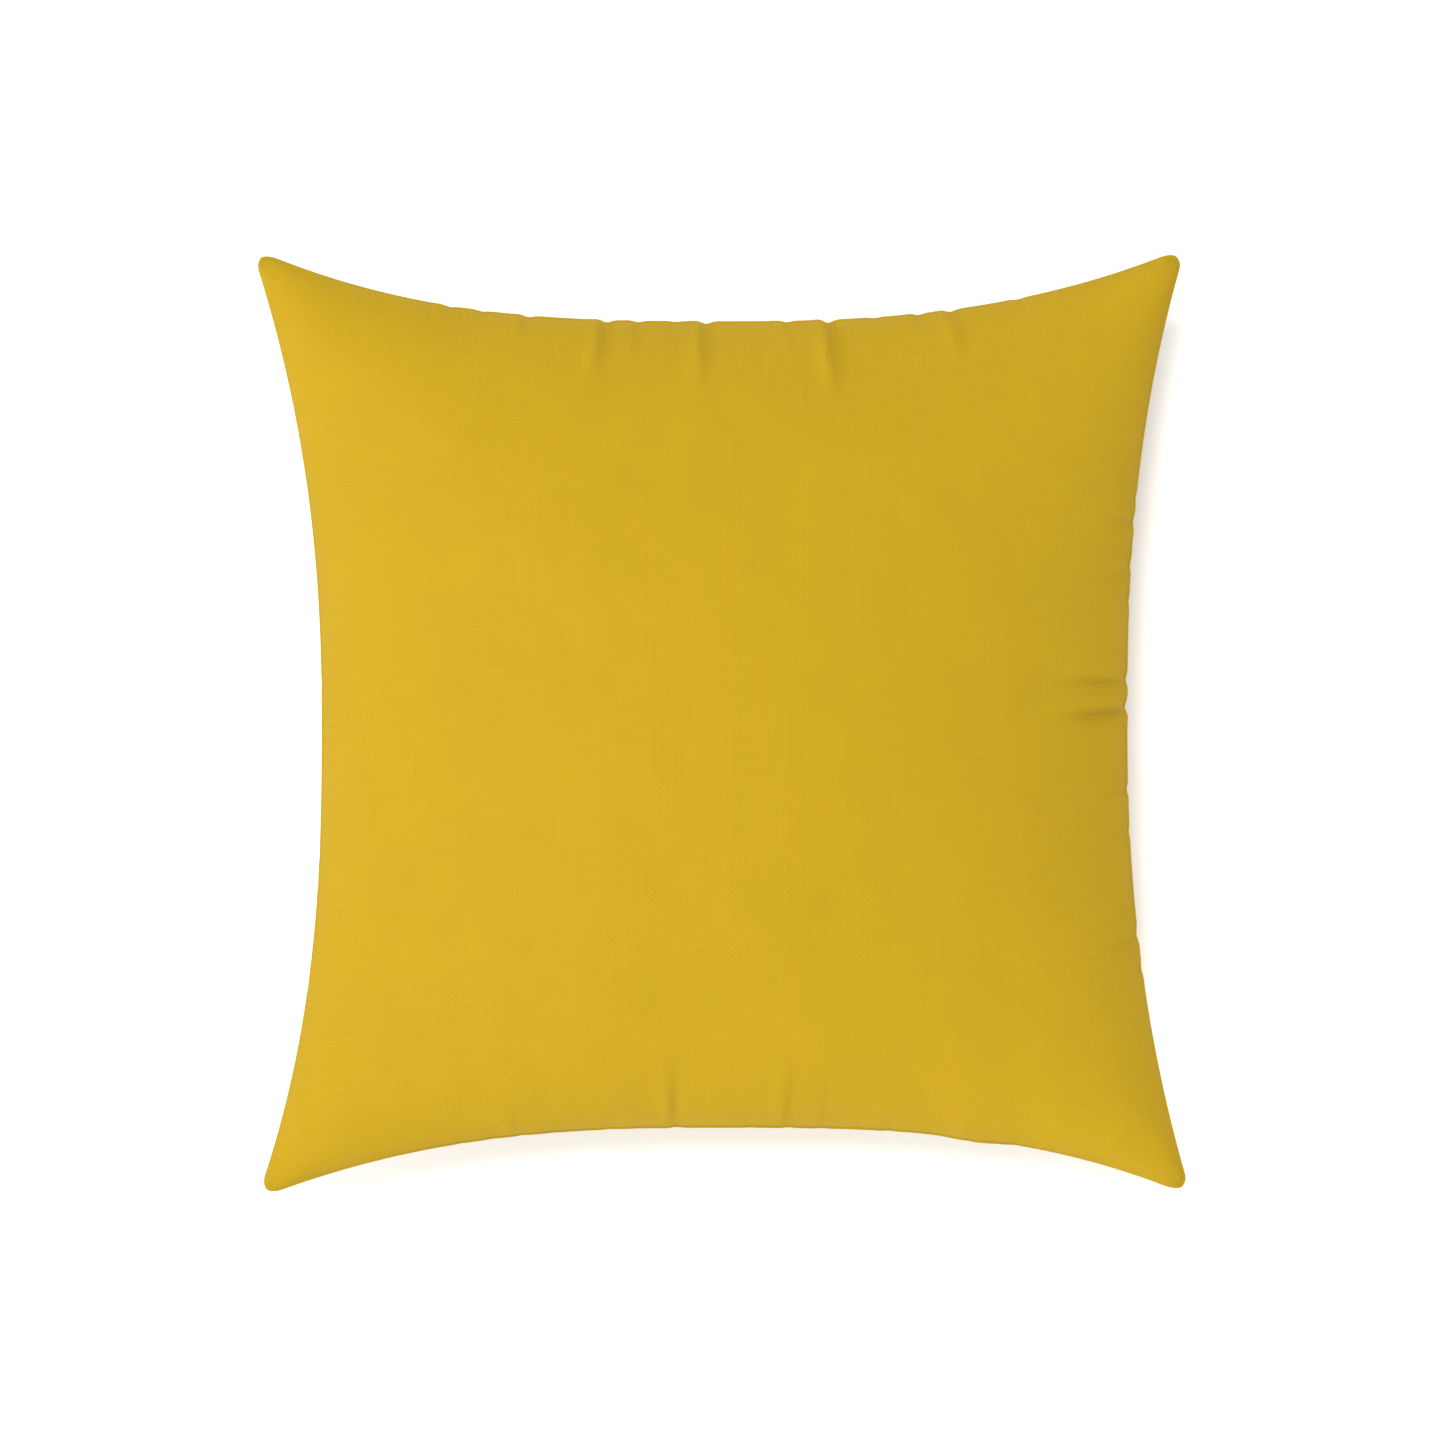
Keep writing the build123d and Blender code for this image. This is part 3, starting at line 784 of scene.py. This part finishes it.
def care_label(name, place):
    """Plain satin loop at a node's place: a strip folded in half, its two leaves just apart."""
    low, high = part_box(place)
    corner = np.array([high.x + low.x, high.y + low.y]) / 2
    height = (low.z + high.z) / 2
    inwards = np.array([1, 1]) / np.sqrt(2)
    beside = np.array([-1, 1]) / np.sqrt(2)
    leaf = LABEL_SIDE - LABEL_FOLD
    turn = np.linspace(-np.pi / 2, np.pi / 2, 9)
    out = np.linspace(0, leaf, 15)[:-1]
    run = np.concatenate([out, leaf + LABEL_FOLD * np.cos(turn), np.linspace(leaf, 0, 15)[1:]])
    rise = LABEL_FOLD * np.concatenate([-np.ones_like(out), np.sin(turn), np.ones_like(out)])
    run_along = run[:, None] - LABEL_SIDE / 2
    share = np.linspace(-0.5, 0.5, 13)[None]
    curl = LABEL_CURL * np.sin(np.pi * (run_along / LABEL_SIDE + 0.5)) * np.cos(2 * np.pi * share)
    plan_xy = corner + run_along[..., None] * inwards + LABEL_SIDE * share[..., None] * beside
    points = np.dstack([plan_xy, height + rise[:, None] * 0.5 + 0.3 * curl])
    walked = np.concatenate([[0], np.cumsum(np.hypot(np.diff(run), np.diff(rise)))])
    uv = np.stack(np.meshgrid(walked, share[0] * LABEL_SIDE, indexing="ij"), axis=-1).reshape(-1, 2)
    faces = quads(numbered(*points.shape[:2]))
    piece = mesh_object(name, points.reshape(-1, 3), faces[:, ::-1], uv)
    return thicken(piece, LABEL_CLOTH), (LABEL_SIDE, float(walked[-1]))


def insert_plan(u, v, scale=1.0):
    """Insert seen from above: nearly square, its sides a little hollow and its corners round."""
    x = u * (INSERT_SIDE + INSERT_EARS * u**2 * np.abs(v) ** SIDE_POWER)
    y = v * (INSERT_SIDE + INSERT_EARS * v**2 * np.abs(u) ** SIDE_POWER)
    rounding = INSERT_ROUNDING * np.abs(u * v) ** 10
    return scale * (x - np.sign(u) * rounding), scale * (y - np.sign(v) * rounding)


def insert_surface(s, t, facing, rise, scale=1.0, foot=0.3 * MM):
    """Half of the insert: rise * cos(a) * cos(b) off its seam, with the flat patch below."""
    a, b = crown_angle(s, rise), crown_angle(t, rise)
    x, y = insert_plan(np.sin(a), np.sin(b), scale)
    height = (rise - foot) * np.cos(a) * np.cos(b)
    if facing < 0:
        height = soft_floor(height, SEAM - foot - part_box("insert_back_panel")[0].z, PATCH_BLEND)
    return np.stack([x, y, SEAM + facing * (foot + height)], axis=-1)


def insert_panel(name, s, t, facing):
    """Nonwoven panel of the insert, softly creased where the fibre is uneven."""
    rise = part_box("insert_front_panel")[1].z - SEAM if facing > 0 else BACK_RISE - 2 * MM
    points = insert_surface(s, t, facing, rise)
    dent = lumps(points, 55 * MM, 7)
    edge = np.minimum(1, 6 * (1 - s**2) * (1 - t**2))
    depth = INSERT_DENT * (1 if facing > 0 else 0.4)
    points -= normals_of(points) * (facing * depth * (1 + dent) * edge)[..., None]
    uv = np.stack([s, t], axis=-1).reshape(-1, 2) * INSERT_CUT
    faces = quads(numbered(*s.shape))
    piece = mesh_object(name, points.reshape(-1, 3), faces if facing > 0 else faces[:, ::-1], uv)
    return thicken(piece, INSERT_CLOTH)


def lumps(points, size, seed):
    """Soft uneven lumps, about -1 to 1: a sum of twelve waves in chance directions."""
    chance = np.random.default_rng(seed)
    ways = unit(chance.normal(size=(12, 3))) * (2 * np.pi / size) * chance.uniform(0.7, 1.6, (12, 1))
    phases = chance.uniform(0, 2 * np.pi, 12)
    return np.cos(points @ ways.T + phases).sum(axis=-1) / 5


def fibre_fill(name, place, s, t):
    """Loose fibre that fills the insert: one closed lumpy form a little inside its panels."""
    n = len(s)
    floor, top = (corner.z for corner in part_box(place))
    rise = top - SEAM
    front = insert_surface(s, t, 1, rise - 1.5 * MM, FILL_SCALE)
    back = insert_surface(s, t, -1, rise, FILL_SCALE)
    back[..., 2] = np.maximum(back[..., 2], floor + 0.8 * MM)
    shrink = np.minimum(1, 5 * (1 - s**2) * (1 - t**2))
    for half, facing in ((front, 1), (back, -1)):
        lump = 1.1 * MM * (lumps(half, 38 * MM, 3) + 0.5 * lumps(half, 13 * MM, 4)) - 1.8 * MM
        half += facing * normals_of(half) * (lump * shrink)[..., None]
    index = numbered(n, n)
    rim = rim_of(index)
    band = quads(np.stack([rim, rim + n * n]), close_columns=True)
    faces = np.vstack([quads(index), quads(index + n * n)[:, ::-1], band[:, ::-1]])
    points = np.vstack([front.reshape(-1, 3), back.reshape(-1, 3)])
    return mesh_object(name, points, faces)


def insert_edge(name):
    """Overlock round the insert's edge."""
    u, v = square_loop(400)
    line = np.stack([*insert_plan(u, v), np.full(len(u), SEAM)], axis=-1)
    return overlock(name, line, *INSERT_OVERLOCK, True)


def closing_stitch(name, place):
    """Lockstitch that closes the insert's filling gap, in the middle of its upper side."""
    low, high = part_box(place)
    x = np.linspace(low.x, high.x, 300)
    share = x / (INSERT_SIDE + INSERT_EARS)
    y = insert_plan(share, np.ones_like(share))[1] - 1.6 * MM
    rows = []
    for facing in (1, -1):
        line = np.stack([x, y, np.full_like(x, SEAM + facing * 0.9 * MM)], axis=-1)
        rows.append(line_of_stitches(line, STITCH, (0, 0, facing), 0.82 * STITCH, THREAD / 2)[1])
    return mesh_object(name, *joined(rows))


# ---------------------------------------------------------------- materials

def new_material(name, **constants):
    """Material with a principled shader, whose constant values sit on its own sockets."""
    material = bpy.data.materials.new(name)
    material.use_nodes = True
    shader = material.node_tree.nodes["Principled BSDF"]
    for socket, value in constants.items():
        shader.inputs[socket.replace("_", " ")].default_value = value
    return material, material.node_tree, shader


def node(tree, kind, inputs=(), **settings):
    """Node with its settings, and its inputs linked or set in order by their numbers or names."""
    made = tree.nodes.new(kind)
    for key, value in settings.items():
        setattr(made, key, value)
    for key, value in dict(inputs).items():
        if isinstance(value, bpy.types.NodeSocket):
            tree.links.new(value, made.inputs[key])
        else:
            made.inputs[key].default_value = value
    return made


def calc(tree, operation, *values):
    """Result of one step of arithmetic on sockets or numbers."""
    return node(tree, "ShaderNodeMath", dict(enumerate(values)), operation=operation).outputs[0]


def ramp(tree, factor, low, high):
    """Colour from low to high by a factor."""
    mix = node(tree, "ShaderNodeMix", data_type="RGBA")
    mix.inputs["A"].default_value = (*low, 1)
    mix.inputs["B"].default_value = (*high, 1)
    tree.links.new(factor, mix.inputs["Factor"])
    return next(out for out in mix.outputs if out.type == "RGBA")


def shade(tree, shader, colour, height, distance, strength):
    """Links a colour, and a bump of a height in shares of a distance."""
    tree.links.new(colour, shader.inputs["Base Color"])
    bump = node(tree, "ShaderNodeBump", {"Height": height, "Distance": distance, "Strength": strength})
    tree.links.new(bump.outputs[0], shader.inputs["Normal"])


def noise(tree, vector, size, detail=2.0, stretch=(1, 1, 1)):
    """Noise with lumps of a size in metres, stretched by shares along its axes."""
    scale = [1 / (size * share) for share in stretch]
    place = node(tree, "ShaderNodeMapping", {"Vector": vector, "Scale": scale})
    pattern = {"Vector": place.outputs[0], "Scale": 1.0, "Detail": detail}
    return node(tree, "ShaderNodeTexNoise", pattern).outputs[0]


def tint(colour, share):
    return tuple(c * share for c in colour)


def uv_axes(tree):
    """The cloth's own map, and its two axes."""
    uv = node(tree, "ShaderNodeUVMap", uv_map="cloth").outputs[0]
    axes = node(tree, "ShaderNodeSeparateXYZ", {0: uv})
    return uv, axes.outputs[0], axes.outputs[1]


def plain_weave(tree, u, v, pitch):
    """Plain weave from a = cos(pi u / pitch) and b = cos(pi v / pitch).

    The warp is on top where a b is above zero, and stands |a| |b|^0.5 high; the weft is on
    top elsewhere, with the powers changed over. So each yarn is round across and long.
    """
    warp = calc(tree, "COSINE", calc(tree, "MULTIPLY", u, np.pi / pitch))
    weft = calc(tree, "COSINE", calc(tree, "MULTIPLY", v, np.pi / pitch))
    product = calc(tree, "MULTIPLY", warp, weft)
    on_top = calc(tree, "GREATER_THAN", product, 0.0)
    warp_power = calc(tree, "MULTIPLY_ADD", on_top, 0.5, 0.5)
    weft_power = calc(tree, "MULTIPLY_ADD", on_top, -0.5, 1.0)
    round_warp = calc(tree, "POWER", calc(tree, "ABSOLUTE", warp), warp_power)
    round_weft = calc(tree, "POWER", calc(tree, "ABSOLUTE", weft), weft_power)
    return product, calc(tree, "MULTIPLY", round_warp, round_weft), on_top


def cover_cloth():
    """Mustard plain weave of slightly uneven yarns, matt, with a faint sheen, and painted shade that darkens
    the gaps between the yarns.
    """
    material, tree, shader = new_material(
        "cover_cloth", Roughness=0.9, Sheen_Weight=0.03, Sheen_Roughness=0.5,
        Sheen_Tint=(0.9, 0.6, 0.12, 1), Specular_IOR_Level=0.08)
    uv, u, v = uv_axes(tree)
    product, height, on_top = plain_weave(tree, u, v, YARN)
    warp_slub = noise(tree, uv, YARN, 1.0, (1.0, 22, 1))
    weft_slub = noise(tree, uv, YARN, 1.0, (22, 1.0, 1))
    spot = node(tree, "ShaderNodeTexCoord").outputs["Object"]
    dye = noise(tree, spot, 45 * MM, 3.0)
    warp_fibres = noise(tree, uv, 0.09 * MM, 2.0, (1, 9, 1))
    weft_fibres = noise(tree, uv, 0.09 * MM, 2.0, (9, 1, 1))
    fuzz = calc(tree, "MULTIPLY_ADD", on_top, calc(tree, "SUBTRACT", warp_fibres, weft_fibres), weft_fibres)
    yarn = calc(tree, "MULTIPLY", product, 0.17)
    slub = calc(tree, "MULTIPLY", calc(tree, "ADD", warp_slub, weft_slub), 0.22)
    # painted shade: the colour follows the yarns' height, darker in the low gaps between them
    gap = calc(tree, "MULTIPLY", height, 0.24)
    total = calc(tree, "ADD", calc(tree, "ADD", yarn, slub), gap)
    total = calc(tree, "ADD", total, calc(tree, "MULTIPLY", dye, 0.3))
    total = calc(tree, "ADD", total, calc(tree, "MULTIPLY", fuzz, 0.3))
    factor = calc(tree, "SUBTRACT", total, 0.16)
    colour = ramp(tree, factor, tint(MUSTARD, 0.86), tint(MUSTARD, 1.14))
    relief = calc(tree, "ADD", height, calc(tree, "MULTIPLY", slub, 0.8))
    relief = calc(tree, "ADD", relief, calc(tree, "MULTIPLY", fuzz, 0.25))
    shade(tree, shader, colour, relief, 0.22 * MM, 0.6)
    return material


def cover_thread():
    """Mustard sewing thread: fine twisted plies."""
    material, tree, shader = new_material("cover_thread", Roughness=0.6, Sheen_Weight=0.1)
    spot = node(tree, "ShaderNodeTexCoord").outputs["Object"]
    plies = noise(tree, spot, 0.25 * MM, 2.0, (1, 1, 2.5))
    colour = ramp(tree, plies, tint(MUSTARD, 0.7), tint(MUSTARD, 1.15))
    shade(tree, shader, colour, plies, 0.1 * MM, 0.5)
    return material


def zip_tape_cloth():
    """Mustard polyester tape: a dense herringbone twill."""
    material, tree, shader = new_material("zip_tape", Roughness=0.62, Sheen_Weight=0.1)
    uv, u, v = uv_axes(tree)
    bands = calc(tree, "PINGPONG", v, 1.6 * MM)
    slant = calc(tree, "ADD", u, calc(tree, "MULTIPLY", bands, 1.0))
    rib = calc(tree, "SINE", calc(tree, "MULTIPLY", slant, 2 * np.pi / (0.55 * MM)))
    fuzz = noise(tree, uv, 0.3 * MM)
    factor = calc(tree, "ADD", calc(tree, "MULTIPLY", rib, 0.25), fuzz)
    colour = ramp(tree, factor, tint(MUSTARD, 0.55), tint(MUSTARD, 0.95))
    shade(tree, shader, colour, rib, 0.12 * MM, 0.4)
    return material


def coil_nylon():
    """Mustard nylon wire, smooth and slightly translucent looking, with faint drawing marks."""
    material, tree, shader = new_material("zip_coil", Coat_Weight=0.3, Coat_Roughness=0.15)
    spot = node(tree, "ShaderNodeTexCoord").outputs["Object"]
    marks = noise(tree, spot, 0.5 * MM, 3.0, (1, 3, 1))
    colour = ramp(tree, marks, tint(MUSTARD, 0.6), tint(MUSTARD, 0.9))
    rough = node(tree, "ShaderNodeMapRange", {"Value": marks, "To Min": 0.22, "To Max": 0.42}).outputs[0]
    tree.links.new(rough, shader.inputs["Roughness"])
    shade(tree, shader, colour, marks, 0.03 * MM, 0.2)
    return material


def enamel(name, metallic, low, high, rough):
    """Painted or plated metal: soft mottling, fine scratches, and a roughness that varies with them."""
    material, tree, shader = new_material(name, Metallic=metallic)
    spot = node(tree, "ShaderNodeTexCoord").outputs["Object"]
    mottle = noise(tree, spot, 2.5 * MM, 4.0)
    scratch = noise(tree, spot, 0.25 * MM, 2.0, (12, 1, 1))
    factor = calc(tree, "ADD", calc(tree, "MULTIPLY", mottle, 0.6), calc(tree, "MULTIPLY", scratch, 0.4))
    colour = ramp(tree, factor, low, high)
    ends = {"Value": scratch, "To Min": rough, "To Max": rough + 0.2}
    spread = node(tree, "ShaderNodeMapRange", ends).outputs[0]
    tree.links.new(spread, shader.inputs["Roughness"])
    shade(tree, shader, colour, scratch, 0.02 * MM, 0.25)
    return material


def label_satin():
    """White woven satin: long floats with fine crosswise lines."""
    material, tree, shader = new_material("label_satin", Roughness=0.35, Sheen_Weight=0.2, Anisotropic=0.4)
    uv, u, _ = uv_axes(tree)
    floats = noise(tree, uv, 0.12 * MM, 2.0, (14, 1, 1))
    lines = calc(tree, "SINE", calc(tree, "MULTIPLY", u, 2 * np.pi / (0.35 * MM)))
    factor = calc(tree, "ADD", floats, calc(tree, "MULTIPLY", lines, 0.08))
    colour = ramp(tree, factor, (0.70, 0.69, 0.66), (0.92, 0.92, 0.90))
    shade(tree, shader, colour, factor, 0.04 * MM, 0.3)
    return material


def insert_cloth():
    """White nonwoven: matted fibres pressed together in rows of small bonded dots."""
    material, tree, shader = new_material("insert_cloth", Roughness=0.8, Sheen_Weight=0.2)
    uv, u, v = uv_axes(tree)
    product, _, _ = plain_weave(tree, u, v, 1.1 * MM)
    dots = calc(tree, "SMOOTH_MAX", product, 0.35, 0.2)
    mat = noise(tree, uv, 0.6 * MM, 5.0, (3, 1, 1))
    factor = calc(tree, "SUBTRACT", calc(tree, "ADD", mat, 0.35), calc(tree, "MULTIPLY", dots, 0.45))
    colour = ramp(tree, factor, (0.66, 0.66, 0.65), (0.88, 0.88, 0.87))
    relief = calc(tree, "SUBTRACT", mat, calc(tree, "MULTIPLY", dots, 0.8))
    shade(tree, shader, colour, relief, 0.12 * MM, 0.4)
    return material


def white_thread():
    """Undyed sewing thread."""
    material, tree, shader = new_material("insert_thread", Roughness=0.55, Sheen_Weight=0.1)
    spot = node(tree, "ShaderNodeTexCoord").outputs["Object"]
    plies = noise(tree, spot, 0.25 * MM, 2.0, (1, 1, 2.5))
    colour = ramp(tree, plies, (0.60, 0.59, 0.56), (0.88, 0.87, 0.84))
    shade(tree, shader, colour, plies, 0.1 * MM, 0.5)
    return material


def fibre():
    """Crimped white polyester fibre, in soft tangled clumps."""
    material, tree, shader = new_material("fibre", Roughness=0.95, Sheen_Weight=0.4)
    spot = node(tree, "ShaderNodeTexCoord").outputs["Object"]
    clumps = noise(tree, spot, 14 * MM, 6.0)
    strands = noise(tree, spot, 1.2 * MM, 6.0, (1, 3, 1))
    factor = calc(tree, "ADD", calc(tree, "MULTIPLY", clumps, 0.6), calc(tree, "MULTIPLY", strands, 0.4))
    colour = ramp(tree, factor, (0.62, 0.62, 0.61), (0.93, 0.93, 0.92))
    shade(tree, shader, colour, factor, 1.2 * MM, 0.7)
    return material


def floor_finish():
    """Plain pale matt floor."""
    material, tree, shader = new_material("pale_floor", Roughness=0.9, Specular_IOR_Level=0.1)
    spot = node(tree, "ShaderNodeTexCoord").outputs["Object"]
    tooth = noise(tree, spot, 3 * MM)
    shade(tree, shader, ramp(tree, tooth, (0.92, 0.92, 0.92), (0.94, 0.94, 0.94)), tooth, 0.02 * MM, 0.05)
    return material


# ---------------------------------------------------------------- the whole pillow

def square_grid(count):
    side = np.linspace(-1, 1, count)
    return np.meshgrid(side, side, indexing="ij")


def keep_cad(name, material):
    """A CAD node whose shape stays, with its finish."""
    slots = frame["nodes"][name].data.materials
    slots.clear()
    slots.append(material)


def build_cover(cloth, thread):
    s, t = square_grid(SIM_POINTS)
    front, back = half_pillow(s, t, 1), half_pillow(s, t, -1)
    flat = np.stack([s * CUT, t * CUT, np.full_like(s, SEAM)], axis=-1)
    front, back = filled(front, back, flat)
    shares = close_shares(PANEL_POINTS)
    s, t = np.meshgrid(shares, shares, indexing="ij")
    for name, points, facing in (("cover_front_panel", front, 1), ("cover_back_panel", back, -1)):
        panel = cover_panel(name.replace("cover", "woven"), s, t, resampled(points, shares), facing)
        finish_piece(panel, cloth, "pillow", "cover_cloth", name)
    seam, edge = seam_stitching("seam_stitches"), cover_overlock("overlock_stitches")
    finish_piece(seam, thread, "pillow", "cover_thread", "cover_seam_thread")
    finish_piece(edge, thread, "pillow", "cover_thread", "cover_overlock_thread")


def build_zip(thread):
    tape_cloth, nylon = zip_tape_cloth(), coil_nylon()
    for name, line in (("zip_tape_front", FRONT_TAPE), ("zip_tape_back", BACK_TAPE)):
        tape, width = zip_tape(name.replace("zip_tape", "woven_tape"), line)
        finish_piece(tape, tape_cloth, "pillow", "zip_tape", name)
    for name, side in (("zip_coil_front", 1), ("zip_coil_back", -1)):
        finish_piece(zip_coil(name.replace("zip", "wound"), side), nylon, "pillow", "zip_coil", name)
    for name, place in (("zip_stitching_front", FRONT_STITCHING), ("zip_stitching_back", BACK_STITCHING)):
        row = zip_stitching(name.replace("zip", "tape"), *place)
        finish_piece(row, thread, "pillow", "cover_thread", name)
    metal = enamel("slider_metal", 0.0, tint(MUSTARD, 0.62), tint(MUSTARD, 0.92), 0.3)
    stop = enamel("zip_stop", 0.9, (0.28, 0.27, 0.26), (0.42, 0.41, 0.39), 0.32)
    for name in ("zip_slider_body", "zip_pull_tab"):
        keep_cad(name, metal)
    for name in ("zip_top_stops", "zip_bottom_stop"):
        keep_cad(name, stop)


def build_insert():
    cloth, thread = insert_cloth(), white_thread()
    s, t = square_grid(101)
    for name, facing in (("insert_front_panel", 1), ("insert_back_panel", -1)):
        panel = insert_panel("insert_cloth_front" if facing > 0 else "insert_cloth_back", s, t, facing)
        finish_piece(panel, cloth, "pillow", "insert_cloth", name)
    fill = fibre_fill("loose_fibre", "insert_fill", *square_grid(121))
    finish_piece(fill, fibre(), "pillow", "fibre", "insert_fill")
    finish_piece(insert_edge("insert_overlock"), thread, "pillow", "insert_thread", "insert_seam_thread")
    closing = closing_stitch("closing_stitches", "insert_closing_stitch")
    finish_piece(closing, thread, "pillow", "insert_thread", "insert_closing_stitch")


def build_label():
    label, size = care_label("care_loop", "care_label")
    finish_piece(label, label_satin(), "pillow", "label_satin", "care_label")


def sun(name, strength, angle, azimuth, elevation):
    """Distant light from an azimuth, anticlockwise from +X, and an elevation, in degrees."""
    light = bpy.data.lights.new(name, "SUN")
    light.energy = strength
    light.angle = np.radians(angle)
    lamp = bpy.data.objects.new(name, light)
    lamp.rotation_euler = (0, np.radians(90 - elevation), np.radians(azimuth))
    bpy.context.scene.collection.objects.link(lamp)


def build_stage():
    """Pale floor, an even white sky, a soft key from the upper left and a low fill from the lower left."""
    corners = FLOOR_HALF * np.array([[-1, -1, 0], [1, -1, 0], [1, 1, 0], [-1, 1, 0]])
    floor = mesh_object("pale_floor", corners, np.array([[0, 1, 2, 3]]))
    floor.data.materials.append(floor_finish())
    world = bpy.data.worlds.new("studio")
    world.use_nodes = True
    world.node_tree.nodes["Background"].inputs["Color"].default_value = (1, 1, 1, 1)
    world.node_tree.nodes["Background"].inputs["Strength"].default_value = SKY
    scene = bpy.context.scene
    scene.world = world
    scene.view_settings.view_transform = "Standard"
    sun("key_light", KEY, *KEY_FROM)
    sun("fill_light", FILL, *FILL_FROM)


def build_camera():
    """Straight above the pillow's middle, its upper edge up."""
    lens = bpy.data.cameras.new("camera")
    lens.angle = 2 * np.arctan(VIEW_WIDTH / 2 / CAMERA_RISE)
    camera = bpy.data.objects.new("camera", lens)
    camera.location = (*VIEW_MIDDLE, SEAM + CAMERA_RISE)
    bpy.context.scene.collection.objects.link(camera)
    bpy.context.scene.camera = camera


cloth, thread = cover_cloth(), cover_thread()
build_cover(cloth, thread)
build_zip(thread)
build_insert()
build_label()
build_stage()
build_camera()
